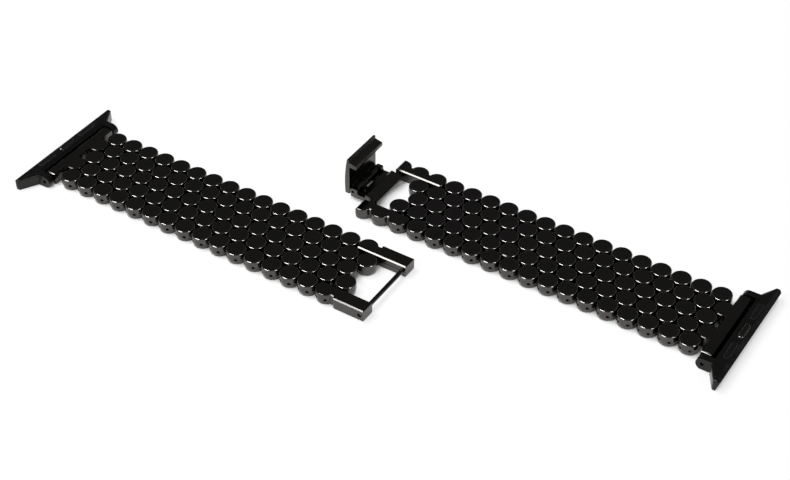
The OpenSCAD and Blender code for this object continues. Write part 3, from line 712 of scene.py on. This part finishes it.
def floor_material(stage):
    """White paper: diffuse, with part of what is seen plain white, and painted shade where that
    white fades in narrow gaps and close to the band.
    """
    material = bpy.data.materials.new("white paper")
    material.use_nodes = True
    tree = material.node_tree
    tree.nodes.remove(tree.nodes["Principled BSDF"])
    place = add(tree, "ShaderNodeTexCoord").outputs["Object"]
    fibre = add(tree, "ShaderNodeTexNoise", {"Vector": place, "Scale": FIBRES, "Detail": 5.0})
    pale = colour(stage.floor)
    tone = add(tree, "ShaderNodeMix",
               {0: fibre.outputs[0], 6: colour([0.99 * c for c in stage.floor]), 7: pale},
               data_type="RGBA").outputs[2]
    paper = add(tree, "ShaderNodeBsdfDiffuse", {"Color": tone}).outputs[0]
    glow = add(tree, "ShaderNodeEmission", {"Strength": 1.0}).outputs[0]
    ray = tree.nodes.new("ShaderNodeLightPath").outputs
    seen = calc(tree, "MAXIMUM", ray["Is Camera Ray"],
                calc(tree, "MAXIMUM", ray["Is Glossy Ray"], ray["Is Transmission Ray"]))
    # Painted shade: ambient occlusion takes the white glow away near the band, so the floor
    # darkens in gaps and at the band's foot
    painted_shade_ao = add(tree, "ShaderNodeAmbientOcclusion", {"Distance": GAP_REACH}, samples=12)
    open_air = add(tree, "ShaderNodeMapRange",
                   {"Value": painted_shade_ao.outputs["AO"], "From Min": GAP_DARK, "From Max": GAP_OPEN},
                   interpolation_type="SMOOTHSTEP").outputs[0]
    share = calc(tree, "MULTIPLY", calc(tree, "MULTIPLY", seen, stage.floor_glow), open_air)
    mix = add(tree, "ShaderNodeMixShader", {0: share, 1: paper, 2: glow})
    tree.links.new(mix.outputs[0], tree.nodes["Material Output"].inputs["Surface"])
    return material


def floor_object(stage):
    """The round floor, made ring by ring."""
    shape = bmesh.new()
    rings = []
    for radius, z in FLOOR_RINGS:
        ring = []
        for i in range(FLOOR_SIDES):
            turn = 2 * math.pi * i / FLOOR_SIDES
            ring.append(shape.verts.new((radius * math.cos(turn), radius * math.sin(turn), z)))
        rings.append(ring)
    shape.faces.new(rings[0])
    for inner, outer in zip(rings, rings[1:]):
        for i in range(FLOOR_SIDES):
            j = (i + 1) % FLOOR_SIDES
            shape.faces.new((inner[i], outer[i], outer[j], inner[j])).smooth = True
    mesh = bpy.data.meshes.new("floor")
    shape.to_mesh(mesh)
    shape.free()
    mesh.materials.append(floor_material(stage))
    floor = bpy.data.objects.new("floor", mesh)
    bpy.context.scene.collection.objects.link(floor)
    return floor


def soft_light(name, power):
    """A flat soft light that faces the band's middle from its place in LIGHTS."""
    place, size, lean = LIGHTS[name]
    azimuth, elevation, distance = math.radians(place[0]), math.radians(place[1]), place[2]
    data = bpy.data.lights.new(name, "AREA")
    data.shape = "RECTANGLE"
    data.size, data.size_y = size
    data.energy = power
    light = bpy.data.objects.new(name, data)
    flat = math.cos(elevation)
    back = Vector((math.cos(azimuth) * flat, math.sin(azimuth) * flat, math.sin(elevation)))
    right = Vector((-math.sin(azimuth), math.cos(azimuth), 0.0))
    turn = Matrix((right, back.cross(right), back)).transposed().to_4x4()
    turn = turn @ Matrix.Rotation(math.radians(lean), 4, "Z")
    light.matrix_world = Matrix.Translation(back * distance) @ turn
    light.visible_camera = False
    bpy.context.scene.collection.objects.link(light)
    return light


def camera_object(stage):
    """The camera, at the photograph's viewing angle."""
    data = bpy.data.cameras.new("camera")
    data.lens = stage.lens
    data.sensor_width = 36.0
    data.clip_start = 0.01
    data.clip_end = 20.0
    flat = math.cos(stage.elevation)
    back = Vector((math.sin(stage.azimuth) * flat, -math.cos(stage.azimuth) * flat,
                   math.sin(stage.elevation)))
    right = Vector((math.cos(stage.azimuth), math.sin(stage.azimuth), 0.0))
    up = back.cross(right)
    lean_right = right * math.cos(stage.roll) + up * math.sin(stage.roll)
    lean_up = back.cross(lean_right)
    turn = Matrix((lean_right, lean_up, back)).transposed().to_4x4()
    camera = bpy.data.objects.new("camera", data)
    spot = Vector(stage.target) + back * stage.distance
    camera.matrix_world = Matrix.Translation(spot) @ turn
    bpy.context.scene.collection.objects.link(camera)
    return camera


class BAND_OT_stage(bpy.types.Operator):
    """Set up the white table, the soft lights, the dim room and the camera"""

    bl_idname = "band.stage"
    bl_label = "Table, lights and camera"

    def execute(self, context):
        scene = context.scene
        stage = scene.band_stage
        floor_object(stage)
        soft_light("left light", stage.left_light)
        soft_light("right light", stage.right_light)
        soft_light("top light", stage.top_light).visible_glossy = False
        world = bpy.data.worlds.new("dim room")
        world.use_nodes = True
        room = world.node_tree.nodes["Background"]
        room.inputs["Color"].default_value = (1.0, 1.0, 1.0, 1.0)
        room.inputs["Strength"].default_value = stage.room
        scene.world = world
        scene.camera = camera_object(stage)
        scene.view_settings.view_transform = "Standard"
        return {"FINISHED"}


OPERATORS = (BAND_OT_scales, BAND_OT_pins, BAND_OT_frames, BAND_OT_clasp, BAND_OT_adapters,
             BAND_OT_stage)


class BAND_PT_panel(bpy.types.Panel):
    bl_label = "Watch band"
    bl_idname = "BAND_PT_panel"
    bl_space_type = "VIEW_3D"
    bl_region_type = "UI"
    bl_category = "Watch band"

    def draw(self, context):
        column = self.layout.column(align=True)
        for step in OPERATORS:
            column.operator(step.bl_idname)
        for group in (context.scene.band_sizes, context.scene.band_finish,
                      context.scene.band_stage):
            box = self.layout.box()
            for name in group.bl_rna.properties.keys():
                if name not in ("rna_type", "name"):
                    box.prop(group, name)


CLASSES = (BandSizes, BandFinish, BandStage) + OPERATORS + (BAND_PT_panel,)


def register():
    for item in CLASSES:
        bpy.utils.register_class(item)
    bpy.types.Scene.band_sizes = bpy.props.PointerProperty(type=BandSizes)
    bpy.types.Scene.band_finish = bpy.props.PointerProperty(type=BandFinish)
    bpy.types.Scene.band_stage = bpy.props.PointerProperty(type=BandStage)


def unregister():
    del bpy.types.Scene.band_stage
    del bpy.types.Scene.band_finish
    del bpy.types.Scene.band_sizes
    for item in reversed(CLASSES):
        bpy.utils.unregister_class(item)


def main():
    register()
    bpy.ops.band.scales()
    bpy.ops.band.pins()
    bpy.ops.band.frames()
    bpy.ops.band.clasp()
    bpy.ops.band.adapters()
    bpy.ops.band.stage()


if __name__ == "__main__":
    main()
